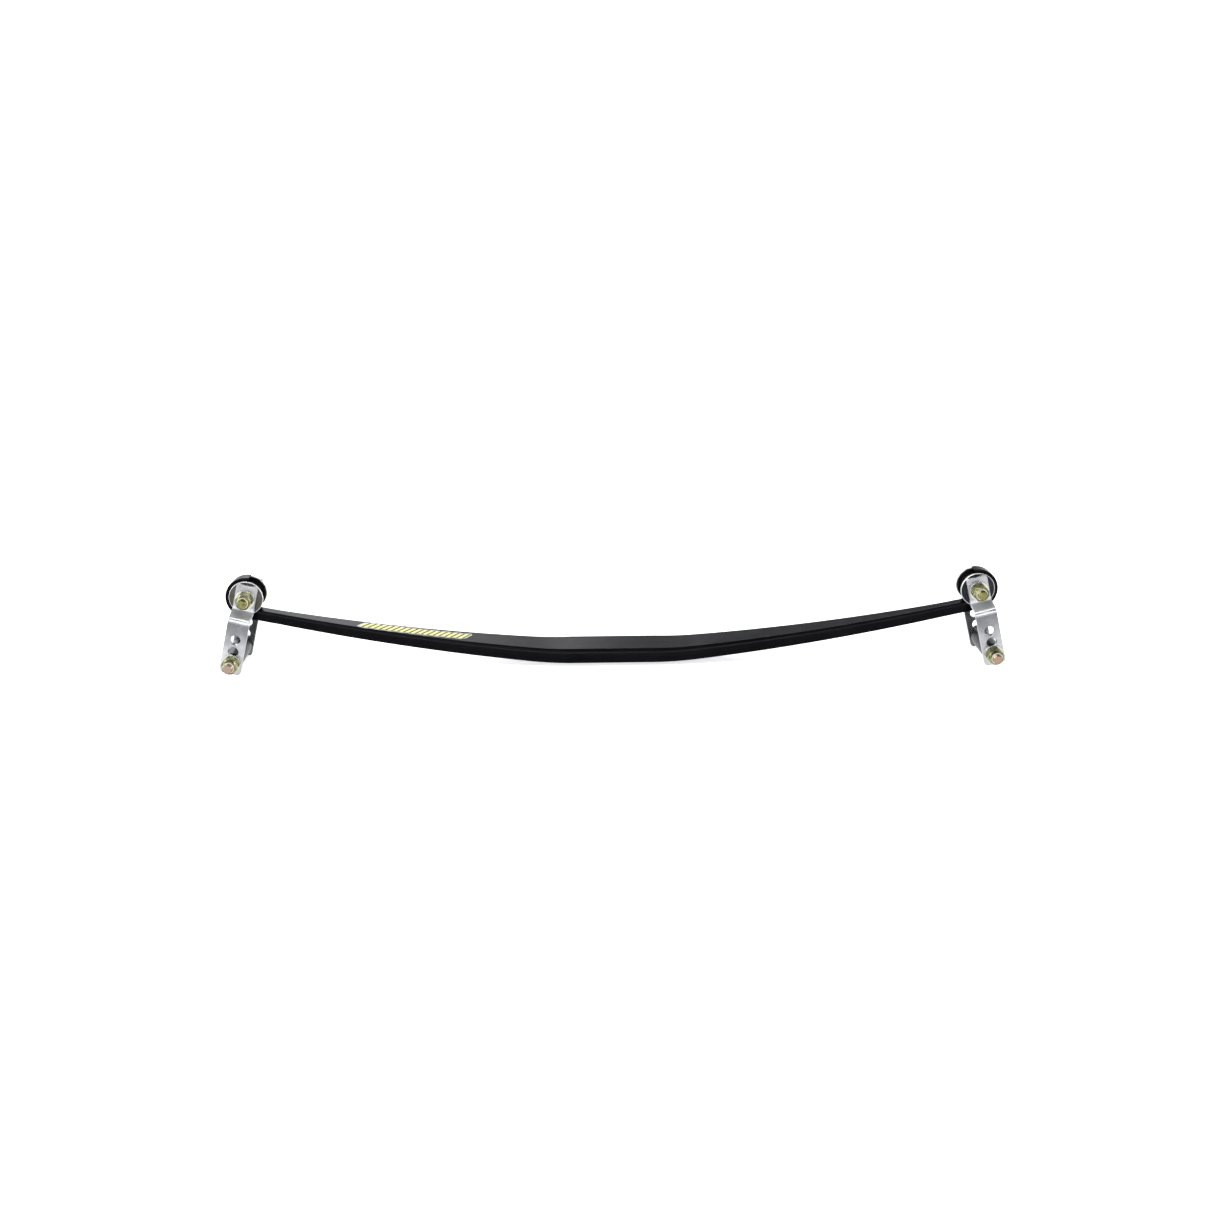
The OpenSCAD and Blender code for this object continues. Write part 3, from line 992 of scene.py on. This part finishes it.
# %% [markdown]
# ## Lock nuts and bolt heads
# A hexagon starts as a round blank with its corners already chamfered, just as a nut is
# machined from bar. Six plane cuts then make the flats, and each cut leaves the curved line
# that a real chamfer has. The collar of the lock nut closes over a nylon insert.
# %% Nuts and their inserts
nut_hex_h = 11.6 * mm
nut_collar_h = 4.7 * mm
thread_play = 0.02 * mm
insert_wall = 2.2 * mm
insert_edge = 0.4 * mm
collar_lip = 0.8 * mm
collar_step = 0.3 * mm
nut_h = nut_hex_h + nut_collar_h
bore_chamfer = 0.6 * mm
blank_spare = 0.2 * mm
chamfer_share = 0.9
hex_edge = 0.3 * mm
hex_angle = math.radians(45)
# How far in, and how far down, the rounded corners of the collar lie.
collar_outside = ((0, 1.1 * mm), (0.5 * mm, 0.3 * mm), (1.2 * mm, 0))
collar_inside = ((-0.3 * mm, 0), (0, 0.4 * mm))


def hexagon(node):
    """Corner radius, flat radius, chamfer and round blank of a hexagon."""
    low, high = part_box(node)
    corner = (high.x - low.x) / 2 / math.cos(lean)
    flat = corner * math.cos(math.pi / 6)
    return corner, flat, (corner - flat) * chamfer_share, corner + blank_spare


def cut_flats(bm, corner):
    """Six flats, where the corners of a hexagon have this radius."""
    for index in range(6):
        turn = math.radians(30 + 60 * index)
        out = Vector((math.cos(turn), 0, math.sin(turn)))
        cut = bmesh.ops.bisect_plane(bm, geom=everything(bm), dist=clean_cut,
                                     plane_co=out * corner * math.cos(math.pi / 6),
                                     plane_no=out, clear_outer=True)["geom_cut"]
        bmesh.ops.edgeloop_fill(bm, edges=only(BMEdge, cut))
    bmesh.ops.recalc_face_normals(bm, faces=bm.faces)


def nut_mesh(node):
    """A lock nut, from its seat at the highest y to the lip of its collar at the lowest."""
    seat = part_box(node)[1].y
    corner, flat, chamfer, blank = hexagon(node)
    bore = bolt_r + thread_play
    insert = bore + insert_wall
    collar = flat - collar_lip
    lip = insert - collar_lip
    points = [(bore + bore_chamfer, 0), (corner - 2 * chamfer, 0), (blank, chamfer),
              (blank, nut_hex_h - chamfer), (corner - 2 * chamfer, nut_hex_h),
              (collar, nut_hex_h + collar_step)]
    points += [(collar - inwards, nut_h - down) for inwards, down in collar_outside]
    points += [(lip - inwards, nut_h - down) for inwards, down in collar_inside]
    points += [(lip, nut_h - collar_lip), (insert, nut_h - collar_lip), (insert, nut_hex_h),
               (bore, nut_hex_h), (bore, bore_chamfer)]
    bm = turned([(radius, seat - height) for radius, height in points])
    cut_flats(bm, corner)
    soften(bm, hex_edge, 2, hex_angle)
    return bm


for name, where, place in bolt_places:
    node = f"{name}_{where}_nut"
    finish_piece(node, put(nut_mesh(node), place), nut_finish, f"{name}_shackle",
                 "locking")
    insert = ring_mesh(f"{node}_insert", bolt_r + thread_play, insert_edge)
    finish_piece(f"{node}_insert", put(insert, place), insert_finish, f"{name}_shackle")

# %% [markdown]
# ## Bolts with a real thread
# A thread is a zigzag that moves along by one pitch while it goes round once. The spin operator
# does exactly that when it is given a small step along the axis. One tooth after the other
# meets its neighbour, so merging doubles closes the surface. Plane cuts trim both ends, and a
# bridge joins the thread to the plain shank.
# %% Bolts
pitch = 25.4 / 12 * mm  # twelve threads to the inch
thread_depth = 0.6 * pitch
thread_steps = 40
spare_thread = 8 * mm
thread_runout = 1 * mm
lead = 1.6 * mm
lead_depth = 1.5 * mm
head_h = 9.1 * mm
head_chamfer = 0.4 * mm
# One tooth: how deep each point lies, and its shift along the bolt as a share of the pitch.
tooth_shape = ((0, 0.0625), (0, -0.0625), (thread_depth, -0.375), (thread_depth, -0.625))


def thread_mesh(tip, start):
    """A closed thread from its tip, at the lowest y, to its start at the shank."""
    bm = bmesh.new()
    teeth = math.ceil((start - tip) / pitch) + 3
    line = []
    for tooth in range(teeth):
        for depth, shift in tooth_shape:
            y = start + pitch * (1.5 - tooth + shift)
            line.append(bm.verts.new((bolt_r - depth, y, 0)))
    spin_once(bm, line, thread_steps, creep=-pitch / thread_steps, merge_dist=2 * same_place)
    for y, outward in ((tip, -1), (start, 1)):
        bmesh.ops.bisect_plane(bm, geom=everything(bm), dist=clean_cut, plane_co=(0, y, 0),
                               plane_no=(0, outward, 0), clear_outer=True)
    return bm


def bolt_mesh(node):
    """Thread, shank and head, from the tip at the lowest y to the head at the highest."""
    tip, top = (end.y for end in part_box(node))
    corner, flat, chamfer, blank = hexagon(node)
    under_head = top - head_h
    thread_start = tip + nut_h + spare_thread
    bm = thread_mesh(tip, thread_start)
    for vertex in bm.verts:
        radius = math.hypot(vertex.co.x, vertex.co.z)
        allowed = bolt_r - lead_depth * max(1 - (vertex.co.y - tip) / lead, 0)
        if radius > allowed:
            vertex.co.x *= allowed / radius
            vertex.co.z *= allowed / radius
    tip_edges = [e for e in bm.edges if len(e.link_faces) == 1
                 and all(abs(v.co.y - tip) < same_place for v in e.verts)]
    bmesh.ops.edgeloop_fill(bm, edges=tip_edges)
    spin_line(bm, [(bolt_r, thread_start + thread_runout), (bolt_r, under_head),
                   (flat, under_head), (blank, under_head + head_chamfer),
                   (blank, top - chamfer), (corner - 2 * chamfer, top), (0, top)], False)
    open_edges = [e for e in bm.edges if len(e.link_faces) == 1]
    bmesh.ops.bridge_loops(bm, edges=open_edges)
    cut_flats(bm, corner)
    soften(bm, hex_edge, 2, hex_angle, above=under_head + 0.1 * mm)
    return bm


for name, where, place in bolt_places:
    node = f"{name}_{where}_bolt"
    finish_piece(node, put(bolt_mesh(node), place), bolt_finish[where], f"{name}_shackle",
                 "threaded")

# %% [markdown]
# ## The studio
# The floor is one pale dish: flat under the spring, and rising gently far away, so that no
# horizon shows. It glows a little by itself, which keeps shadows faint, as on a light table.
# Its high rim, above the camera's view, is brighter on the left, and the leaf mirrors that.
# %% Floor
floor_z = cad_box[0].z
flat_radius = 3.0
sweep_radius = 4.5
sweep_turn = math.radians(85)
sweep_steps = 20
floor_steps = 96
# Each pair is a start and an end: the glow from near to far, and the rim from left to right.
glow, glow_reach = (0.67, 0.8), (0.8, 3.5)
rim_glow, rim_reach = (3.4, 0.1), (-0.7, 0.32)
rim_height = (1.6, 1.9)


def floor_finish():
    finish = new_finish("pale_floor", Emission_Color=(0.97, 0.97, 1.0, 1))
    patches = noise(finish, placed(finish), scale=0.6, detail=2)
    colour = two_tone(finish, patches, (0.83, 0.83, 0.83), (0.85, 0.85, 0.85))
    near_far = spread(finish, distance(finish, placed(finish)), *glow, *glow_reach)
    sideways = spread(finish, part_of(finish, placed(finish), "X"), *rim_glow, *rim_reach)
    high = spread(finish, part_of(finish, placed(finish), "Z"), 0, 1, *rim_height)
    strength = mix_value(finish, high, near_far, sideways)
    wire(finish, strength, shader_of(finish).inputs["Emission Strength"])
    return dress(finish, colour, roughness=0.9)


def floor_dish():
    turns = [sweep_turn * i / sweep_steps for i in range(1, sweep_steps + 1)]
    line = [(0, 0), (flat_radius, 0)]
    line += [(flat_radius + sweep_radius * math.sin(turn), sweep_radius * (1 - math.cos(turn)))
             for turn in turns]
    bm = bmesh.new()
    made = [bm.verts.new((radius, 0, floor_z + height)) for radius, height in line]
    spin_once(bm, made, floor_steps, axis=(0, 0, 1), merge_dist=10 * same_place)
    bmesh.ops.recalc_face_normals(bm, faces=bm.faces)
    floor = add_object("floor", bm, floor_finish())


floor_dish()
print("floor at", round(floor_z, 5))

# %% [markdown]
# ## The lights
# Gloss paint and zinc show their lights as highlights, so each lamp is there for one of them.
# The strip at the back rims the hooks, and the boxes at the sides light the plates' edges. The
# box in front and above lights the bends, the edges of the leaf and the flats of the nuts.
# The low strip in front draws the thin line along the side of the leaf, and the small box high
# at the back brightens the ledge of the left plate.
# %% Lights


def soft_box(name, place, aim, width, height, power):
    """A rectangular lamp at a place, turned to its aim."""
    lamp = bpy.data.lights.new(name, "AREA")
    lamp.shape = "RECTANGLE"
    lamp.size = width
    lamp.size_y = height
    lamp.energy = power
    box = bpy.data.objects.new(name, lamp)
    box.location = place
    box.rotation_mode = "QUATERNION"
    box.rotation_quaternion = (Vector(aim) - Vector(place)).to_track_quat("-Z", "Y")
    bpy.context.scene.collection.objects.link(box)
    print(name, "power", power)


spring_middle = (0, 0, 0.05)
soft_box("back_strip", (0, 1.35, 1.25), spring_middle, width=3.4, height=0.36, power=30)
for name, side in SIDES.items():
    soft_box(f"{name}_box", (side * 2.1, -0.7, 1.5), spring_middle, width=0.5, height=1.1, power=6)
soft_box("front_box", (0, -1.25, 1.85), spring_middle, width=2.8, height=0.4, power=22)
soft_box("front_strip", (0, -2.9, 0.32), (0, 0, 0.02), width=3.4, height=0.1, power=30)
soft_box("ledge_box", (-1.15, 1.35, 2.0), (-0.5, 0, 0.1), width=0.7, height=0.5, power=8)

world_grey = (0.14, 0.145, 0.155, 1)
world = bpy.data.worlds.new("studio")
world.use_nodes = True
world.node_tree.nodes["Background"].inputs["Color"].default_value = world_grey
bpy.context.scene.world = world
bpy.context.scene.view_settings.view_transform = "Standard"
